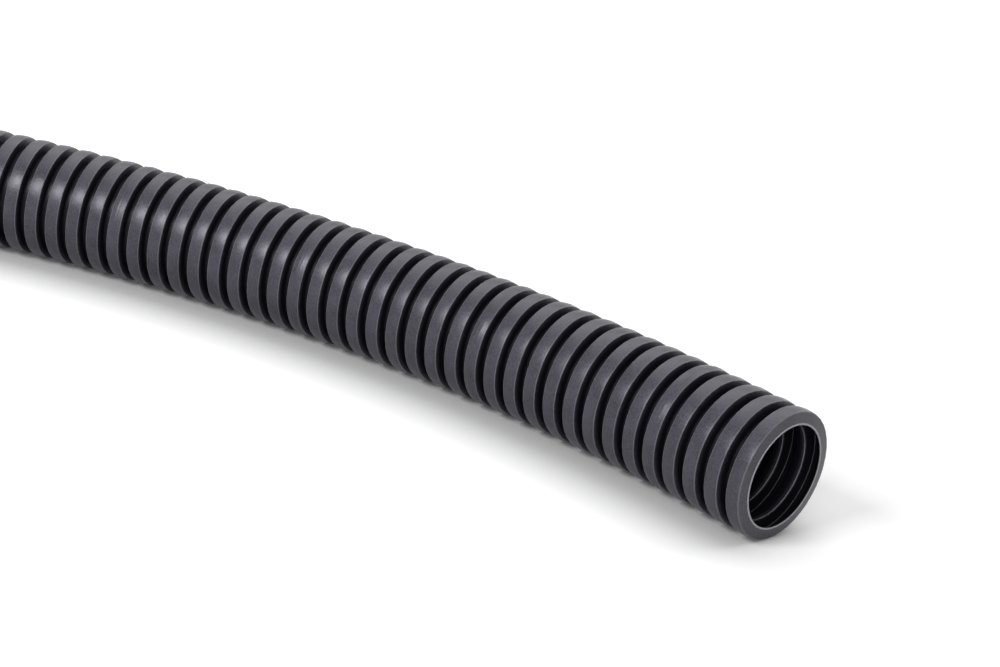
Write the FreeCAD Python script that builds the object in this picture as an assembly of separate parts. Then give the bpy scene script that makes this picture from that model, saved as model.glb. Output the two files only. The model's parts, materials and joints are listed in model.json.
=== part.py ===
import FreeCAD, Part
import math
import os

from FreeCAD import Placement, Rotation, Vector

# Driving dimensions, in millimetres. The conduit is one thin-walled tube whose wall is
# moulded into rings: a broad flat crown, a steep flank, a narrow groove, a steep flank.

# Section of the tube
outer_diameter = 32.0
bore_diameter = 25.3
wall = 0.45

# One corrugation, measured along the tube
pitch = 6.4
crown_flat = 3.7
groove_flat = 2.0

# Root tube left standing beyond the last flank where the stock is cut
cut_lip = 0.1

# Lie of the stock on the floor: a straight run, one gentle bend, a short straight lead
run_corrugations = 117
bend_corrugations = 36
lead_corrugations = 3
bend_radius = 355.0

# Worked out from the driving dimensions
crown_radius = outer_diameter / 2
groove_radius = bore_diameter / 2 + wall
flank_run = (pitch - crown_flat - groove_flat) / 2
flank_angle = math.atan2(crown_radius - groove_radius, flank_run)
# A wall of even thickness moves the inner corners this far towards the crown's middle
inner_shift = wall * math.tan(flank_angle / 2)

first_middle = cut_lip - groove_flat / 2
bend_start = first_middle + run_corrugations * pitch
bend_end = bend_start + bend_corrugations * pitch
bend_angle = (bend_end - bend_start) / bend_radius
corrugations = run_corrugations + bend_corrugations + lead_corrugations
length = first_middle + corrugations * pitch - groove_flat / 2 + cut_lip

X_AXIS = Vector(1, 0, 0)
Z_AXIS = Vector(0, 0, 1)


def placed_at(distance):
    """Placement that carries a section at the origin, facing +X, to its place on the centreline.

    The centreline runs along +X, turns towards -Y round the bend and ends in a straight lead.
    """
    turned = min(max(distance - bend_start, 0.0), bend_end - bend_start) / bend_radius
    beyond = max(distance - bend_end, 0.0)
    x = min(distance, bend_start) + bend_radius * math.sin(turned) + beyond * math.cos(turned)
    y = -bend_radius * (1 - math.cos(turned)) - beyond * math.sin(turned)
    return Placement(Vector(x, y, crown_radius), Rotation(Z_AXIS, -math.degrees(turned)))


def stations(inset):
    """Corner circles of the wall as (distance, radius) pairs, from one cut end to the other.

    inset is 0 for the outside of the wall and the wall's thickness for its inside.
    """
    shift = inner_shift * inset / wall
    low = groove_radius - inset
    high = crown_radius - inset
    corners = [(0.0, low)]
    for index in range(corrugations):
        if index in (run_corrugations, run_corrugations + bend_corrugations):
            corners.append((first_middle + index * pitch, low))
        foot = cut_lip + index * pitch
        far_foot = foot + 2 * flank_run + crown_flat
        corners.append((foot + shift, low))
        corners.append((foot + flank_run + shift, high))
        corners.append((far_foot - flank_run - shift, high))
        corners.append((far_foot - shift, low))
    corners.append((length, low))
    return corners


def ring(distance, radius):
    """Circle of the tube's wall at a distance along the centreline, starting at its top."""
    circle = Part.Circle(Vector(0, 0, 0), X_AXIS, radius)
    circle.XAxis = Z_AXIS
    edge = circle.toShape()
    edge.Placement = placed_at(distance)
    return edge


def turned_face(near, far, distance):
    """Cylinder, cone or flat ring turned about the centreline where it is straight.

    near and far are (offset from distance along the centreline, radius) pairs.
    """
    line = Part.LineSegment(Vector(near[0], 0, near[1]), Vector(far[0], 0, far[1]))
    face = line.toShape().revolve(Vector(0, 0, 0), X_AXIS, 360)
    face.Placement = placed_at(distance)
    return face


def bent_face(near, far):
    """Torus patch between equal corner circles on the bend, or ruled strip between unequal ones."""
    first = ring(*near)
    if near[1] == far[1]:
        centre = Vector(bend_start, -bend_radius, crown_radius)
        return first.revolve(centre, -Z_AXIS, math.degrees((far[0] - near[0]) / bend_radius))
    return Part.makeRuledSurface(first, ring(*far))


def band(near, far):
    """Face of the wall between two corner circles."""
    middle = (near[0] + far[0]) / 2
    if bend_start < middle < bend_end:
        return bent_face(near, far)
    return turned_face((near[0] - middle, near[1]), (far[0] - middle, far[1]), middle)


def skin(inset):
    """Every face of one side of the wall."""
    corners = stations(inset)
    return [band(near, far) for near, far in zip(corners, corners[1:])]


def cut_face(distance):
    """Flat ring left by the knife at one end of the stock."""
    return turned_face((0.0, bore_diameter / 2), (0.0, groove_radius), distance)


def tube():
    """The wall as one closed solid: outside, inside and the two cut ends."""
    faces = []
    for surface in skin(0.0) + skin(wall) + [cut_face(0.0), cut_face(length)]:
        faces.extend(surface.Faces)
    shell = Part.Compound(faces)
    shell.sewShape()
    solid = Part.Solid(shell.Shells[0])
    if solid.Volume < 0:
        solid.reverse()
    return solid


def plan_middle():
    """Middle of the floor area that the stock covers, from the reach of its corner circles."""
    low_x = high_x = low_y = high_y = 0.0
    for distance, radius in stations(0.0):
        place = placed_at(distance)
        across = place.Rotation.multVec(Vector(0, radius, 0))
        low_x = min(low_x, place.Base.x - abs(across.x))
        high_x = max(high_x, place.Base.x + abs(across.x))
        low_y = min(low_y, place.Base.y - abs(across.y))
        high_y = max(high_y, place.Base.y + abs(across.y))
    return Vector((low_x + high_x) / 2, (low_y + high_y) / 2, 0)


def wall_volume():
    """Volume that the wall should have, from the area of its section and the path's length."""
    total = 0.0
    for inset, sign in ((0.0, 1), (wall, -1)):
        corners = stations(inset)
        for (start, first), (end, last) in zip(corners, corners[1:]):
            total += sign * math.pi * (end - start) * (first**2 + first * last + last**2) / 3
    return total


os.makedirs("parts", exist_ok=True)
middle_of_plan = plan_middle()
conduit = tube()
conduit.translate(-middle_of_plan)
conduit.exportStep("parts/conduit.step")

for name, distance in (("run end", 0.0), ("bend start", bend_start), ("bend end", bend_end), ("lead end", length)):
    place = placed_at(distance)
    heading = place.Rotation.multVec(X_AXIS)
    point = place.Base - middle_of_plan
    print(name, [round(v, 3) for v in point], "heading", [round(v, 6) for v in heading])
box = conduit.BoundBox
print("length", round(length, 2), "bend angle", round(math.degrees(bend_angle), 3))
print("faces", len(conduit.Faces), "valid", conduit.isValid(), "closed", conduit.isClosed())
print("volume", round(conduit.Volume, 1), "expected", round(wall_volume(), 1))
print("box", [round(v, 3) for v in (box.XMin, box.YMin, box.ZMin, box.XMax, box.YMax, box.ZMax)])
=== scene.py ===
"""Corrugated conduit lying on a pale studio floor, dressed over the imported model.

Sizes of the conduit are in millimetres, and everything placed in the scene is in metres.
"""

import json
import logging
import math
from dataclasses import dataclass, field
from enum import Enum

import bpy
import numpy as np
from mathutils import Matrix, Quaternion, Vector

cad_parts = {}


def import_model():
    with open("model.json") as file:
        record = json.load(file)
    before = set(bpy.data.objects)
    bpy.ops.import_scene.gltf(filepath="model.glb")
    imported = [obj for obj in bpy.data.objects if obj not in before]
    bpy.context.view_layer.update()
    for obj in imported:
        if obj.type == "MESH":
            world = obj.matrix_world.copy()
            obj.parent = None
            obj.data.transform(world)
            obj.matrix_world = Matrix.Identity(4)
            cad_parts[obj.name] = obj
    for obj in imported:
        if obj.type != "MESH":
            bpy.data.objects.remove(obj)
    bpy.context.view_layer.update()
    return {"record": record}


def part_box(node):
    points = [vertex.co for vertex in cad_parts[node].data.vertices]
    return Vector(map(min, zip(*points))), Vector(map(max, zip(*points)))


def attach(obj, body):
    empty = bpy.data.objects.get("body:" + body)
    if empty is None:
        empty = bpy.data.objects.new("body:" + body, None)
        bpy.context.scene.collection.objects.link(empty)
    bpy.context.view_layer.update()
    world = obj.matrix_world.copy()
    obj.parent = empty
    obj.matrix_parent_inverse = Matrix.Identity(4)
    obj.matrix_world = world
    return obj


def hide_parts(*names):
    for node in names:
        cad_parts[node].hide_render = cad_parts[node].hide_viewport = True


LOG = logging.getLogger("conduit")
METRES = 0.001
# Radius of the bend in millimetres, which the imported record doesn't state
BEND_RADIUS = 355.0
# Point of the conduit that the lamps are turned to, in metres
AIM = (0.38, 0.0, 0.016)
Z_AXIS = (0.0, 0.0, 1.0)
WHITE = (1.0, 1.0, 1.0, 1.0)

Span = tuple[float, float]
Point = tuple[float, float, float]
Color = tuple[float, float, float, float]
Source = bpy.types.NodeSocket | float | Point | Color


class Ending(Enum):
    """How a corner of the wall's profile is finished."""

    SHARP = 0
    SMOOTH = 1


class Corner(Enum):
    """Place of an outer corner on its crown."""

    FOOT = 0
    SHOULDER = 1
    RIDGE_SIDE = 2
    RIDGE_PEAK = 3
    TOP = 4


@dataclass(frozen=True)
class Wiring:
    """Adds the kinds of node that the finishes, the floor and the surroundings share."""

    tree: bpy.types.NodeTree

    def add(self, kind: str, **settings: object) -> bpy.types.Node:
        """Adds a node.

        Args:
            kind: The node's type name.
            **settings: Properties of the node and their values.

        Returns:
            The new node.
        """
        node = self.tree.nodes.new(kind)
        for name, value in settings.items():
            setattr(node, name, value)
        return node

    def feed(self, target: bpy.types.NodeSocket, source: Source) -> None:
        """Links a socket to another one, or gives it a plain value.

        Args:
            target: The socket that receives.
            source: The socket that sends, or the value.
        """
        if isinstance(source, bpy.types.NodeSocket):
            self.tree.links.new(source, target)
        else:
            target.default_value = source

    def attribute(self, name: str) -> bpy.types.NodeSocket:
        """One of the mesh's own marks."""
        return self.add("ShaderNodeAttribute", attribute_name=name).outputs["Fac"]

    def calculated(self, operation: str, *values: Source) -> bpy.types.NodeSocket:
        """Works out one operation.

        Args:
            operation: Name of the operation.
            *values: Its terms, in order.

        Returns:
            The socket with the result.
        """
        node = self.add("ShaderNodeMath", operation=operation)
        for target, value in zip(node.inputs, values):
            self.feed(target, value)
        return node.outputs[0]

    def noise(self, place: Source, size: float, detail: float) -> bpy.types.NodeSocket:
        """Noise of a given size.

        Args:
            place: Coordinates in metres.
            size: Rough width of one grain in metres.
            detail: Number of finer layers.

        Returns:
            The socket with the noise.
        """
        node = self.add("ShaderNodeTexNoise")
        self.feed(node.inputs["Vector"], place)
        self.feed(node.inputs["Scale"], 1.0 / size)
        self.feed(node.inputs["Detail"], detail)
        return node.outputs["Fac"]

    def remapped(
        self,
        value: Source,
        come: Span = (0.0, 1.0),
        go: Span = (0.0, 1.0),
        smooth: bool = False,
    ) -> bpy.types.NodeSocket:
        """Carries a value from one range to another, and holds it at the ends.

        Args:
            value: The value.
            come: Range that it comes from.
            go: Range that it goes to.
            smooth: Whether it eases in and out.

        Returns:
            The socket with the carried value.
        """
        kind = "SMOOTHSTEP" if smooth else "LINEAR"
        node = self.add("ShaderNodeMapRange", interpolation_type=kind)
        names = ("Value", "From Min", "From Max", "To Min", "To Max")
        for name, source in zip(names, (value, *come, *go)):
            self.feed(node.inputs[name], source)
        return node.outputs["Result"]

    def mixed(self, share: Source, first: Source, second: Source) -> bpy.types.NodeSocket:
        """Mixes two colours.

        Args:
            share: How much of the second one shows, from 0 to 1.
            first: The colour at 0.
            second: The colour at 1.

        Returns:
            The socket with the mixed colour.
        """
        node = self.add("ShaderNodeMix", data_type="RGBA")
        for name, source in (("Factor", share), ("A", first), ("B", second)):
            self.feed(node.inputs[name], source)
        return node.outputs["Result"]


@dataclass(frozen=True)
class Centreline:
    """Path of the conduit's middle: a straight run, one level arc and a short straight lead."""

    start: Point
    run: float
    bend_radius: float
    bend: float
    lead: float

    @property
    def length(self) -> float:
        """Whole length along the path."""
        return self.run + self.bend + self.lead

    def places(self, distances: np.ndarray) -> tuple[np.ndarray, np.ndarray]:
        """Points and headings of the path.

        Up to the bend a point moves along +X. In the bend it has turned by the distance past
        the bend's start over the bend's radius, towards -Y. Past it, it moves straight on.

        Args:
            distances: Distances from the far end, in millimetres.

        Returns:
            Points and unit headings, as two arrays of shape (n, 3).
        """
        turned = np.clip(distances - self.run, 0.0, self.bend) / self.bend_radius
        beyond = np.maximum(distances - self.run - self.bend, 0.0)
        along = np.minimum(distances, self.run) + self.bend_radius * np.sin(turned)
        across = -self.bend_radius * (1.0 - np.cos(turned))
        flat = np.zeros_like(turned)
        headings = np.stack([np.cos(turned), -np.sin(turned), flat], axis=1)
        points = np.stack([along, across, flat], axis=1) + beyond[:, None] * headings
        return points + np.array(self.start), headings


@dataclass(frozen=True)
class Profile:
    """Closed outline of the wall: distance and radius of each point, and its normals.

    arriving and leaving are the normals of the band before and the band after each point.
    They differ only at a sharp corner.
    """

    distance: np.ndarray
    radius: np.ndarray
    arriving: np.ndarray
    leaving: np.ndarray

    @property
    def facing(self) -> np.ndarray:
        """How each point faces: 1 straight out of the conduit, -1 straight into its bore."""
        return (self.arriving[:, 1] + self.leaving[:, 1]) / 2


@dataclass(frozen=True)
class Outline:
    """Corners of the wall's profile before they are rounded."""

    distance: np.ndarray
    radius: np.ndarray
    rounding: np.ndarray
    points: np.ndarray
    ending: np.ndarray

    def parts(self) -> tuple[np.ndarray, ...]:
        """The arrays, in the order of the fields."""
        return self.distance, self.radius, self.rounding, self.points, self.ending

    def joined(self, other: "Outline") -> "Outline":
        """This outline followed by another."""
        return Outline(*(np.concatenate(pair) for pair in zip(self.parts(), other.parts())))

    def reversed(self) -> "Outline":
        """The same corners in the opposite order."""
        return Outline(*(part[::-1] for part in self.parts()))

    def rounded(self) -> Profile:
        """Replaces each corner by points on its tangent arc.

        An arc starts at the corner less the arriving direction times the rounding radius
        times the tangent of half the turn. Its points move with the normal, which turns
        evenly from the arriving band's to the leaving band's.

        Returns:
            The closed profile, with normals on the left of the direction of travel.
        """
        corner = np.stack([self.distance, self.radius], axis=1)
        leaving = np.roll(corner, -1, axis=0) - corner
        leaving /= np.linalg.norm(leaving, axis=1, keepdims=True)
        arriving = np.roll(leaving, 1, axis=0)
        cross = arriving[:, 0] * leaving[:, 1] - arriving[:, 1] * leaving[:, 0]
        turn = np.arctan2(cross, np.sum(arriving * leaving, axis=1))
        set_back = self.rounding * np.tan(np.abs(turn) / 2)

        owner = np.repeat(np.arange(len(turn)), self.points)
        first = np.cumsum(self.points) - self.points
        step = np.arange(len(owner)) - first[owner]
        several = self.points[owner] > 1
        share = np.where(several, step / np.maximum(self.points[owner] - 1, 1), 0.0)
        side = np.where(turn < 0, 1.0, -1.0)[owner]

        start_normal = np.stack([-arriving[:, 1], arriving[:, 0]], axis=1)[owner]
        end_normal = np.stack([-leaving[:, 1], leaving[:, 0]], axis=1)[owner]
        angle = turn[owner] * share
        swung = np.stack(
            [
                start_normal[:, 0] * np.cos(angle) - start_normal[:, 1] * np.sin(angle),
                start_normal[:, 0] * np.sin(angle) + start_normal[:, 1] * np.cos(angle),
            ],
            axis=1,
        )
        place = corner[owner] - arriving[owner] * set_back[owner, None]
        place += (side * self.rounding[owner])[:, None] * (swung - start_normal)

        between = start_normal + end_normal
        between /= np.linalg.norm(between, axis=1, keepdims=True)
        smooth = (self.ending[owner] == Ending.SMOOTH.value)[:, None]
        single_in = np.where(smooth, between, start_normal)
        single_out = np.where(smooth, between, end_normal)
        normal_in = np.where(several[:, None], swung, single_in)
        normal_out = np.where(several[:, None], swung, single_out)
        return Profile(place[:, 0], place[:, 1], normal_in, normal_out)


@dataclass(frozen=True)
class Wall:
    """Section of the moulded wall, in millimetres."""

    corrugations: int = 156
    pitch: float = 6.4
    crown_radius: float = 16.0
    groove_radius: float = 13.1
    thickness: float = 0.45
    crown_flat: float = 3.7
    groove_flat: float = 2.0
    cut_lip: float = 0.1
    camber: float = 0.20
    shoulder_rounding: float = 0.25
    shoulder_points: int = 3
    ridge_rounding: float = 0.3
    ridge_points: int = 2
    cut_rounding: float = 0.07
    cut_points: int = 3
    mould_length: int = 9
    first_marked: int = 4
    mark_offsets: Span = (-0.45, 0.35)
    mark_height: float = 0.05
    mark_half_width: float = 0.09

    @property
    def flank_run(self) -> float:
        """Length of one flank along the conduit."""
        return (self.pitch - self.crown_flat - self.groove_flat) / 2

    @property
    def length(self) -> float:
        """Length of the stock, cut in a groove at both ends."""
        return self.corrugations * self.pitch - self.groove_flat + 2 * self.cut_lip

    @property
    def inner_shift(self) -> float:
        """How far an even thickness moves the inner corners towards the crown's middle."""
        rise = self.crown_radius - self.groove_radius
        return self.thickness * math.tan(math.atan2(rise, self.flank_run) / 2)

    def crown_middles(self) -> np.ndarray:
        """Distance of each crown's middle, one per corrugation."""
        feet = self.cut_lip + self.pitch * np.arange(self.corrugations)
        return feet + self.flank_run + self.crown_flat / 2

    def marked(self) -> np.ndarray:
        """Which crowns carry the lines between two mould blocks."""
        from_near = self.corrugations - 1 - np.arange(self.corrugations)
        return from_near % self.mould_length == self.first_marked

    def outside(self) -> Outline:
        """Corners of the outer skin from the far cut to the near cut.

        Each crown is a foot, a shoulder, the cambered top, a shoulder and a foot. Its top
        falls from the middle with the square of the offset. A marked crown also has two
        fine ridges of three corners each.

        Returns:
            The outer corners in order of distance.
        """
        run = self.flank_run
        half = self.crown_flat / 2
        width = self.mark_half_width
        side, peak = Corner.RIDGE_SIDE, Corner.RIDGE_PEAK
        left, right = (
            [(middle - width, side), (middle, peak), (middle + width, side)]
            for middle in self.mark_offsets
        )
        corners = [(-half - run, Corner.FOOT), (-half, Corner.SHOULDER), *left]
        corners += [(0.0, Corner.TOP), *right]
        corners += [(half, Corner.SHOULDER), (half + run, Corner.FOOT)]
        offsets = np.array([offset for offset, _ in corners])
        kinds = np.array([kind.value for _, kind in corners])
        is_ridge = (kinds == side.value) | (kinds == peak.value)
        is_shoulder = kinds == Corner.SHOULDER.value

        marked = self.marked()[:, None]
        land = self.crown_radius - self.camber * (offsets / half) ** 2
        heights = np.where(marked & (kinds != peak.value), land - self.mark_height, land)
        heights = np.where(kinds == Corner.FOOT.value, self.groove_radius, heights)
        keep = np.broadcast_to(marked | ~is_ridge, heights.shape)
        grid = np.ones_like(heights)
        endings = np.where(kinds == Corner.TOP.value, Ending.SMOOTH.value, Ending.SHARP.value)
        return Outline(
            (self.crown_middles()[:, None] + offsets)[keep],
            heights[keep],
            (grid * np.where(is_shoulder, self.shoulder_rounding, 0.0))[keep],
            (grid * np.where(is_shoulder, self.shoulder_points, 1)).astype(int)[keep],
            (grid * endings)[keep],
        )

    def inside(self) -> Outline:
        """Corners of the inner skin from the far cut to the near cut.

        They follow the outer corners at the wall's thickness. The ridges that the grooves
        make in the bore are rounded, and the corners under the crowns are left sharp.

        Returns:
            The inner corners in order of distance.
        """
        shoulder = self.crown_flat / 2 - self.inner_shift
        foot = self.crown_flat / 2 + self.flank_run - self.inner_shift
        offsets = np.array([-foot, -shoulder, shoulder, foot])
        is_ridge = np.array([True, False, False, True])
        low = self.groove_radius - self.thickness
        high = self.crown_radius - self.thickness
        grid = np.ones((self.corrugations, len(offsets)))
        return Outline(
            (self.crown_middles()[:, None] + offsets).ravel(),
            (grid * np.where(is_ridge, low, high)).ravel(),
            (grid * np.where(is_ridge, self.ridge_rounding, 0.0)).ravel(),
            (grid * np.where(is_ridge, self.ridge_points, 1)).astype(int).ravel(),
            (grid * Ending.SHARP.value).ravel(),
        )

    def cut(self, distance: float) -> Outline:
        """The two corners of the flat ring left by the knife, the outer one first.

        Args:
            distance: Distance of the cut along the conduit.

        Returns:
            The two corners, with the small rounding that the knife leaves.
        """
        return Outline(
            np.full(2, distance),
            np.array([self.groove_radius, self.groove_radius - self.thickness]),
            np.full(2, self.cut_rounding),
            np.full(2, self.cut_points),
            np.full(2, Ending.SHARP.value),
        )

    def profile(self) -> Profile:
        """The whole wall: out along the outside, over the cut, back inside, over the cut.

        Returns:
            The closed profile.
        """
        near = self.cut(self.length)
        far = self.cut(0.0).reversed()
        out_and_back = self.outside().joined(near).joined(self.inside().reversed()).joined(far)
        return out_and_back.rounded()


@dataclass(frozen=True)
class MouldedPlastic:
    """Satin charcoal plastic with the fine grain of the mould, and its pale cut edge.

    The grooves and the bore are painted darker and less glossy as painted shade, unlike the
    crowns.
    """

    deep_color: Color = (0.017, 0.017, 0.023, 1.0)
    high_color: Color = (0.0485, 0.0467, 0.0613, 1.0)
    # painted shade: dark colour of the grooves and the bore
    painted_shade_color: Color = (0.006, 0.006, 0.009, 1.0)
    # painted highlight: colour of the thin light lines on the shoulders and in the bore
    painted_highlight_color: Color = (0.42, 0.41, 0.46, 1.0)
    # pale cut edge: partly lighter cut plastic, partly a painted highlight
    cut_and_highlight_color: Color = (0.33, 0.33, 0.36, 1.0)
    specular_tint: Color = (0.94, 0.92, 1.0, 1.0)
    specular: Span = (0.16, 0.37)
    roughness: Span = (0.27, 0.40)
    grain_size: float = 0.0004
    grain_detail: float = 2.0
    grain_share: float = 0.65
    cloud_size: float = 0.006
    cloud_detail: float = 4.0
    cloud_share: float = 0.35
    relief: float = 0.00003
    tone_span: Span = (0.36, 0.64)
    gloss_span: Span = (0.3, 0.7)
    # range of the painted light share, from full painted shade to the crowns' colour
    painted_light_span: Span = (0.35, 0.92)
    # range over which a painted highlight line fades in
    painted_highlight_span: Span = (0.88, 1.0)

    def grain_group(self) -> bpy.types.ShaderNodeTree:
        """Group that turns coordinates into grain height and a cloudy mottle.

        The mottle is the cloud's noise times its share plus the grain's noise times its own.

        Returns:
            The group, with the input Vector and the outputs Height and Mottle.
        """
        tree = bpy.data.node_groups.new("moulded_grain", "ShaderNodeTree")
        tree.interface.new_socket("Vector", in_out="INPUT", socket_type="NodeSocketVector")
        for name in ("Height", "Mottle"):
            tree.interface.new_socket(name, in_out="OUTPUT", socket_type="NodeSocketFloat")
        wiring = Wiring(tree)
        place = wiring.add("NodeGroupInput").outputs["Vector"]
        leave = wiring.add("NodeGroupOutput")
        grain = wiring.noise(place, self.grain_size, self.grain_detail)
        cloud = wiring.noise(place, self.cloud_size, self.cloud_detail)
        fine = wiring.calculated("MULTIPLY", grain, self.grain_share)
        mottle = wiring.calculated("MULTIPLY_ADD", cloud, self.cloud_share, fine)
        wiring.feed(leave.inputs["Height"], grain)
        wiring.feed(leave.inputs["Mottle"], mottle)
        return tree

    def color(
        self, wiring: Wiring, mottle: bpy.types.NodeSocket, painted_light: bpy.types.NodeSocket
    ) -> bpy.types.NodeSocket:
        """Mottled crowns over dark grooves, then the light lines, then the cut edge.

        Args:
            wiring: The material's wiring.
            mottle: The cloudy mottle.
            painted_light: How far the painted shade of the grooves and the bore gives way to
                the crowns' colour.

        Returns:
            The socket with the colour.
        """
        crown = wiring.mixed(
            wiring.remapped(mottle, self.tone_span), self.deep_color, self.high_color
        )
        # painted shade: the grooves and the bore take the dark colour where the painted light
        # share is low
        skin = wiring.mixed(painted_light, self.painted_shade_color, crown)
        # painted highlights: thin light lines on the shoulders, under the crowns and on the
        # lips
        line = wiring.remapped(wiring.attribute("painted_highlight_line"), self.painted_highlight_span, smooth=True)
        lined = wiring.mixed(line, skin, self.painted_highlight_color)
        # cut edge: lighter cut plastic with a painted highlight
        return wiring.mixed(wiring.attribute("cut_edge"), lined, self.cut_and_highlight_color)

    def material(self) -> bpy.types.Material:
        """The plastic as one material, which reads the mesh's marks.

        Returns:
            The material.
        """
        material = bpy.data.materials.new("conduit_plastic_satin")
        material.use_nodes = True
        wiring = Wiring(material.node_tree)
        grain = wiring.add("ShaderNodeGroup", node_tree=self.grain_group())
        wiring.feed(grain.inputs["Vector"], wiring.add("ShaderNodeTexCoord").outputs["Object"])
        mottle = grain.outputs["Mottle"]
        # painted light share from the mesh: painted shade in the grooves and the bore, a
        # painted glow on the bore's lips
        painted_light = wiring.remapped(wiring.attribute("painted_light_share"), self.painted_light_span, smooth=True)
        bump = wiring.add("ShaderNodeBump")
        wiring.feed(bump.inputs["Distance"], self.relief)
        wiring.feed(bump.inputs["Height"], grain.outputs["Height"])
        finish = {
            "Base Color": self.color(wiring, mottle, painted_light),
            "Roughness": wiring.remapped(mottle, self.gloss_span, self.roughness),
            # the painted shade also lowers the specular of the grooves and the bore
            "Specular IOR Level": wiring.remapped(painted_light, go=self.specular),
            "Specular Tint": self.specular_tint,
            "Normal": bump.outputs["Normal"],
        }
        shader = material.node_tree.nodes["Principled BSDF"]
        for name, source in finish.items():
            wiring.feed(shader.inputs[name], source)
        return material


@dataclass(frozen=True)
class Marks:
    """Where the wall gets painted shade and painted highlights, as one value per profile point.

    A field that ends in value is what a place is given, one that ends in facing limits
    Profile.facing, and one that ends in share is a share of half a crown's width. The depth
    is in millimetres, the margin in roundings of the ridge, and the lean as lean gives it.
    """

    wall: Wall
    profile: Profile
    shoulder_highlight_value: float = 0.909
    cavity_highlight_value: float = 0.94
    side_facing: float = 0.01
    land_facing: float = 0.99
    shoulder_facing: Span = (0.3, 0.95)
    shoulder_share: float = 0.85
    shoulder_edge_share: float = 0.75
    shoulder_depth: float = 1.0
    lip_margin: float = 1.1
    lip_lean: float = 0.5

    @property
    def outer(self) -> np.ndarray:
        """Points that face out of the conduit."""
        return self.profile.facing > self.side_facing

    @property
    def inner(self) -> np.ndarray:
        """Points that face into the bore."""
        return self.profile.facing < -self.side_facing

    @property
    def lean(self) -> np.ndarray:
        """How much each point leans to the nearer mouth, above 0 where it faces that mouth."""
        along = self.profile.arriving[:, 0] + self.profile.leaving[:, 0]
        return along * (self.profile.distance - self.wall.length / 2)

    @staticmethod
    def beside(marked: np.ndarray) -> np.ndarray:
        """Profile points next to a marked one."""
        return np.roll(marked, 1) | np.roll(marked, -1)

    def lips(self) -> np.ndarray:
        """Where the flat land of each ridge in the bore ends, on the side of the nearer mouth.

        Returns:
            True at those points.
        """
        wall = self.wall
        limit = wall.groove_radius - wall.thickness + self.lip_margin * wall.ridge_rounding
        flank = self.inner & (self.profile.radius < limit) & (self.lean > self.lip_lean)
        return self.beside(flank) & (self.profile.facing < -self.land_facing)

    def cavities(self) -> np.ndarray:
        """The corner under each crown that faces the nearer mouth."""
        return self.inner & (self.profile.radius > self.wall.groove_radius) & (self.lean > 0)

    def shoulders(self) -> np.ndarray:
        """The two roundings of each crown and the points beside them.

        Their distance from the crown's middle keeps the fine mould lines out.

        Returns:
            True at those points.
        """
        wall, facing = self.wall, self.profile.facing
        half = wall.crown_flat / 2
        first_middle = wall.crown_middles()[0]
        pitches = (self.profile.distance - first_middle) / wall.pitch
        aside = np.abs(pitches - np.round(pitches)) * wall.pitch
        low, high = self.shoulder_facing
        rounding = (facing > low) & (facing < high) & (aside > self.shoulder_share * half)
        rounding &= self.profile.radius > wall.crown_radius - self.shoulder_depth
        edge = self.beside(rounding) & self.outer & (aside > self.shoulder_edge_share * half)
        return rounding | edge

    def painted_light_share(self) -> np.ndarray:
        """How far each point is spared the painted shade of the grooves and the bore.

        Outside it is the point's radius less the groove's, divided by the groove's depth, which
        grades the painted shade, and 1 on the bare flanks at the two ends. Inside it is 1 on
        the ridges' lips, as a painted glow, and 0 elsewhere, as painted shade.

        Returns:
            The shares, from 0 to 1.
        """
        wall, profile = self.wall, self.profile
        depth = wall.crown_radius - wall.groove_radius
        risen = np.clip((profile.radius - wall.groove_radius) / depth, 0.0, 1.0)
        from_end = np.minimum(profile.distance, wall.length - profile.distance)
        bare = self.outer & (from_end < wall.cut_lip + wall.flank_run + wall.crown_flat / 2)
        return np.where(bare | self.lips(), 1.0, np.where(self.outer, risen, 0.0))

    def painted_highlight_line(self) -> np.ndarray:
        """How light the painted highlight line is on each shoulder, under each crown and on
        each lip.

        Returns:
            The values, 0 where there is no line.
        """
        # painted highlight values for the shoulders, the corners under the crowns and the
        # bore's lips
        inside = np.where(self.cavities(), self.cavity_highlight_value, self.lips().astype(float))
        return np.where(self.shoulders(), self.shoulder_highlight_value, inside)


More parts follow.
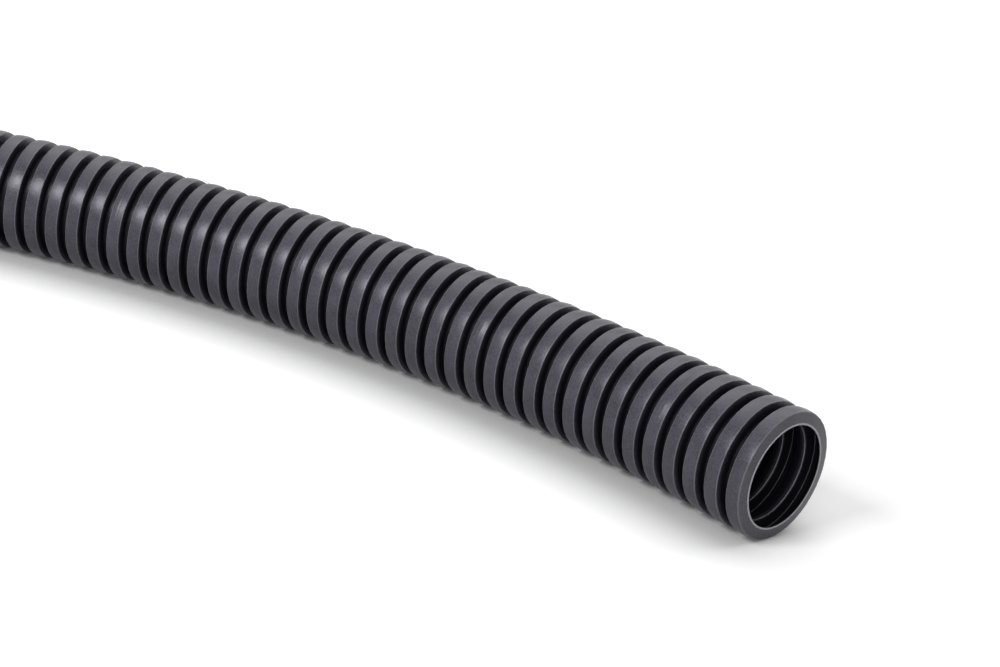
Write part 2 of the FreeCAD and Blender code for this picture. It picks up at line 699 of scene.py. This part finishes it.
@dataclass(frozen=True)
class CorrugatedConduit:
    """The conduit as one closed surface: the wall's profile carried round the centreline."""

    wall: Wall
    centreline: Centreline
    segments: int = 40
    edge_share: float = 0.9
    finish: MouldedPlastic = field(default_factory=MouldedPlastic)

    def build(self) -> bpy.types.Object:
        """Makes the conduit's object with its mesh, normals, UV map, marks and material.

        A point is the centreline's point plus the radius times a unit vector, which turns
        from straight up towards the left of the heading. A normal is made of the profile's
        normal in the same way: its first part along the heading, its second along that
        unit vector.

        Returns:
            The object, linked to the scene.
        """
        profile = self.wall.profile()
        points, headings = self.centreline.places(profile.distance)
        lefts = np.stack([-headings[:, 1], headings[:, 0], headings[:, 2]], axis=1)
        angles = np.linspace(0.0, 2 * math.pi, self.segments, endpoint=False)
        upward = np.cos(angles)[None, :, None] * np.array(Z_AXIS)
        rays = upward + np.sin(angles)[None, :, None] * lefts[:, None, :]
        vertices = points[:, None, :] + profile.radius[:, None, None] * rays

        mesh = bpy.data.meshes.new("conduit_wall")
        faces = self.quads(len(profile.radius))
        mesh.from_pydata((vertices * METRES).reshape(-1, 3), [], faces)
        mesh.shade_smooth()
        self.add_normals(mesh, profile, headings, rays)
        self.add_uv_map(mesh, profile)
        self.add_marks(mesh, profile)
        mesh.materials.append(self.finish.material())
        conduit = bpy.data.objects.new("corrugated_wall", mesh)
        bpy.context.scene.collection.objects.link(conduit)
        return conduit

    def quads(self, count: int) -> np.ndarray:
        """Faces between each profile point and the next, and each segment and the next.

        Args:
            count: Number of profile points.

        Returns:
            The four vertex numbers of each face, as one array of shape (n, 4).
        """
        rows = np.arange(count)[:, None]
        columns = np.arange(self.segments)[None, :]
        next_row = (rows + 1) % count
        next_column = (columns + 1) % self.segments
        corners = [(rows, columns), (next_row, columns)]
        corners += [(next_row, next_column), (rows, next_column)]
        numbers = [row * self.segments + column for row, column in corners]
        return np.stack(numbers, axis=2).reshape(-1, 4)

    def add_normals(
        self, mesh: bpy.types.Mesh, profile: Profile, headings: np.ndarray, rays: np.ndarray
    ) -> None:
        """Gives each face corner its normal on the true surface.

        Args:
            mesh: The wall's mesh.
            profile: The wall's profile.
            headings: Unit heading at each profile point.
            rays: Unit vector from the centreline to each vertex.
        """

        def turned(normal: np.ndarray) -> np.ndarray:
            """Profile normals carried to every segment."""
            along, out = normal[:, 0, None, None], normal[:, 1, None, None]
            return along * headings[:, None, :] + out * rays

        leaving = turned(profile.leaving)
        arriving = np.roll(turned(profile.arriving), -1, axis=0)
        around = (np.roll(leaving, -1, axis=1), np.roll(arriving, -1, axis=1))
        normals = np.stack([leaving, arriving, around[1], around[0]], axis=2)
        mesh.normals_split_custom_set(normals.reshape(-1, 3).tolist())

    def add_uv_map(self, mesh: bpy.types.Mesh, profile: Profile) -> None:
        """Lays the wall out flat: once round is the width, the profile's length the height.

        Args:
            mesh: The wall's mesh.
            profile: The wall's profile.
        """
        points = np.stack([profile.distance, profile.radius], axis=1)
        steps = np.roll(points, -1, axis=0) - points
        reach = np.concatenate([[0.0], np.cumsum(np.linalg.norm(steps, axis=1))])
        reach /= reach[-1]
        low, high = reach[:-1, None], reach[1:, None]
        near = np.arange(self.segments)[None, :] / self.segments
        far = near + 1.0 / self.segments
        grid = np.ones((len(low), self.segments))
        pairs = [(near, low), (near, high), (far, high), (far, low)]
        uv = np.stack([np.stack([u * grid, v * grid], axis=2) for u, v in pairs], axis=2)
        layer = mesh.uv_layers.new(name="unrolled")
        layer.uv.foreach_set("vector", uv.astype(np.float32).ravel())

    def add_marks(self, mesh: bpy.types.Mesh, profile: Profile) -> None:
        """Marks the faces of the two cut edges, and the points with painted shade and painted
        highlights.

        A face belongs to a cut edge where its middle lies within a share of the cut lip.

        Args:
            mesh: The wall's mesh.
            profile: The wall's profile.
        """
        middle = (profile.distance + np.roll(profile.distance, -1)) / 2
        margin = self.wall.cut_lip * self.edge_share
        cut = (middle < margin) | (middle > self.wall.length - margin)
        marks = Marks(self.wall, profile)
        layers = (
            ("cut_edge", "FACE", cut),
            ("painted_light_share", "POINT", marks.painted_light_share()),
            ("painted_highlight_line", "POINT", marks.painted_highlight_line()),
        )
        for name, domain, values in layers:
            layer = mesh.attributes.new(name, "FLOAT", domain)
            layer.data.foreach_set("value", np.repeat(values.astype(np.float32), self.segments))


@dataclass(frozen=True)
class SoftLamp:
    """One rectangular studio lamp, in metres and watts."""

    name: str
    place: Point
    target: Point
    size: Span
    power: float

    def build(self) -> bpy.types.Object:
        """Makes the lamp and turns it to its target.

        Returns:
            The lamp's object, linked to the scene.
        """
        light = bpy.data.lights.new(self.name, "AREA")
        light.shape = "RECTANGLE"
        light.size, light.size_y = self.size
        light.energy = self.power
        lamp = bpy.data.objects.new(self.name, light)
        lamp.location = self.place
        aim = Vector(self.target) - Vector(self.place)
        lamp.rotation_mode = "QUATERNION"
        lamp.rotation_quaternion = aim.to_track_quat("-Z", "Y")
        bpy.context.scene.collection.objects.link(lamp)
        return lamp


@dataclass(frozen=True)
class Studio:
    """Pale floor, soft lamps and white surroundings, in metres and watts.

    The lift is light that only seen rays find on the floor. It grows with the distance from
    its centre, and distances along the conduit are multiplied by the stretch. The first tone
    of seen_floor is a painted shadow where the conduit stands close over the floor, the
    second is the floor elsewhere.
    """

    floor_size: float = 8.0
    floor_roughness: float = 0.9
    lit_floor: Color = (0.8, 0.8, 0.8, 1.0)
    seen_floor: Span = (0.45, 1.0)
    # reach and samples of the painted shadow on the floor near the conduit
    painted_shadow_reach: float = 0.022
    painted_shadow_samples: int = 8
    lift: Span = (0.04, 1.0)
    lift_centre: Span = (0.2, -0.01)
    lift_stretch: float = 0.35
    lift_reach: Span = (0.08, 0.42)
    surroundings: Span = (0.03, 1.0)
    lamps: tuple[SoftLamp, ...] = (
        SoftLamp("key_lamp", (0.0, -0.52, 0.46), AIM, (0.24, 0.24), 4.2),
        SoftLamp("front_lamp", (0.48, -1.05, 0.50), AIM, (0.6, 0.6), 5.2),
        SoftLamp("top_lamp", (0.38, 0.38, 1.05), (0.36, 0.0, 0.016), (1.4, 1.3), 9.4),
        SoftLamp("back_lamp", (1.1, 0.6, 0.62), AIM, (0.9, 0.3), 2.0),
    )

    @staticmethod
    def seen_rays(wiring: Wiring) -> bpy.types.NodeSocket:
        """Tells seen rays, which are the camera's, reflections and those that pass through.

        Args:
            wiring: Wiring of the floor or of the surroundings.

        Returns:
            The socket with 1 for seen rays and 0 for all others.
        """
        path = wiring.add("ShaderNodeLightPath").outputs
        first = wiring.calculated("MAXIMUM", path["Is Camera Ray"], path["Is Glossy Ray"])
        return wiring.calculated("MAXIMUM", first, path["Is Transmission Ray"])

    def floor_lift(self, wiring: Wiring) -> bpy.types.NodeSocket:
        """Light that is added to the floor away from the conduit.

        Args:
            wiring: The floor's wiring.

        Returns:
            The socket with the strength.
        """
        along, across = self.lift_centre
        place = wiring.add("ShaderNodeMapping")
        wiring.feed(place.inputs["Vector"], wiring.add("ShaderNodeTexCoord").outputs["Object"])
        wiring.feed(place.inputs["Location"], (-along * self.lift_stretch, -across, 0.0))
        wiring.feed(place.inputs["Scale"], (self.lift_stretch, 1.0, 1.0))
        reach = wiring.add("ShaderNodeVectorMath", operation="LENGTH")
        wiring.feed(reach.inputs[0], place.outputs["Vector"])
        return wiring.remapped(reach.outputs["Value"], self.lift_reach, self.lift, smooth=True)

    def floor_material(self) -> bpy.types.Material:
        """Pale matt floor with the conduit's shadow and a painted shadow near it, lifted to
        white around it.

        Returns:
            The material.
        """
        material = bpy.data.materials.new("pale_floor")
        material.use_nodes = True
        wiring = Wiring(material.node_tree)
        seen = self.seen_rays(wiring)
        # painted shadow: seen rays find the floor darker where the conduit occludes it nearby
        painted_shadow = wiring.add("ShaderNodeAmbientOcclusion", samples=self.painted_shadow_samples)
        wiring.feed(painted_shadow.inputs["Distance"], self.painted_shadow_reach)
        shown = wiring.remapped(painted_shadow.outputs["AO"], go=self.seen_floor)
        finish = {
            "Base Color": wiring.mixed(seen, self.lit_floor, shown),
            "Roughness": self.floor_roughness,
            "Specular IOR Level": 0.0,
            "Emission Color": WHITE,
            "Emission Strength": wiring.calculated("MULTIPLY", self.floor_lift(wiring), seen),
        }
        shader = material.node_tree.nodes["Principled BSDF"]
        for name, source in finish.items():
            wiring.feed(shader.inputs[name], source)
        return material

    def floor(self) -> bpy.types.Object:
        """Level floor under the conduit.

        Returns:
            The floor's object, linked to the scene.
        """
        half = self.floor_size / 2
        mesh = bpy.data.meshes.new("studio_floor")
        corners = [(x * half, y * half, 0.0) for x, y in ((-1, -1), (1, -1), (1, 1), (-1, 1))]
        mesh.from_pydata(corners, [], [(0, 1, 2, 3)])
        mesh.materials.append(self.floor_material())
        floor = bpy.data.objects.new("studio_floor", mesh)
        bpy.context.scene.collection.objects.link(floor)
        return floor

    def world(self) -> None:
        """White surroundings for seen rays, and a low level of light from all sides."""
        world = bpy.data.worlds.new("studio_surroundings")
        world.use_nodes = True
        wiring = Wiring(world.node_tree)
        inputs = world.node_tree.nodes["Background"].inputs
        wiring.feed(inputs["Color"], WHITE)
        level = wiring.remapped(self.seen_rays(wiring), go=self.surroundings)
        wiring.feed(inputs["Strength"], level)
        bpy.context.scene.world = world

    def build(self) -> None:
        """Makes the floor, the lamps and the surroundings."""
        self.floor()
        self.world()
        for lamp in self.lamps:
            lamp.build()
            LOG.info("lamp %s at %s", lamp.name, lamp.place)


@dataclass(frozen=True)
class PhotoCamera:
    """Camera at the photograph's viewing angle, in metres and degrees."""

    place: Point = (0.44876, -0.42412, 0.15854)
    heading: float = 95.199
    tilt_down: float = 18.022
    roll: float = 11.24
    lens: float = 64.029
    sensor_width: float = 36.0
    clip_start: float = 0.01

    def build(self) -> bpy.types.Object:
        """Makes the camera and gives it to the scene.

        It looks along its heading, lowered by its tilt, and is then rolled about its view.

        Returns:
            The camera's object, linked to the scene.
        """
        lens = bpy.data.cameras.new("photo_camera")
        lens.lens = self.lens
        lens.sensor_width = self.sensor_width
        lens.clip_start = self.clip_start
        heading, tilt = math.radians(self.heading), math.radians(self.tilt_down)
        level = math.cos(tilt)
        view = Vector((math.cos(heading) * level, math.sin(heading) * level, -math.sin(tilt)))
        camera = bpy.data.objects.new("photo_camera", lens)
        camera.location = self.place
        camera.rotation_mode = "QUATERNION"
        roll = Quaternion(Z_AXIS, math.radians(self.roll))
        camera.rotation_quaternion = view.to_track_quat("-Z", "Y") @ roll
        bpy.context.scene.collection.objects.link(camera)
        bpy.context.scene.camera = camera
        return camera


def centreline_of(record: dict, node: str, wall: Wall) -> Centreline:
    """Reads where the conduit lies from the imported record's mounts and the node's box.

    Args:
        record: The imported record.
        node: Name of the conduit's node.
        wall: The wall, for its length.

    Returns:
        The centreline, in millimetres.
    """
    mounts = {mount["name"]: mount for mount in record["mounts"]}
    far, near = mounts["far_end_bore"], mounts["near_end_bore"]
    low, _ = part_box(node)
    side, level = far["pos_m"][1] / METRES, far["pos_m"][2] / METRES
    run, lead = far["dims"]["length_mm"], near["dims"]["length_mm"]
    start = (low[0] / METRES, side, level)
    return Centreline(start, run, BEND_RADIUS, wall.length - run - lead, lead)


def main() -> None:
    """Builds the conduit over its node, then the studio and the camera."""
    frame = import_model()
    bpy.context.scene.view_settings.view_transform = "Standard"

    wall = Wall()
    centreline = centreline_of(frame["record"], "conduit", wall)
    conduit = CorrugatedConduit(wall, centreline).build()
    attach(conduit, "root")
    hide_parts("conduit")
    LOG.info("conduit %.1f mm long, %d quads", centreline.length, len(conduit.data.polygons))

    Studio().build()
    PhotoCamera().build()


if __name__ == "__main__":
    logging.basicConfig(level=logging.INFO, format="%(name)s: %(message)s")
    main()
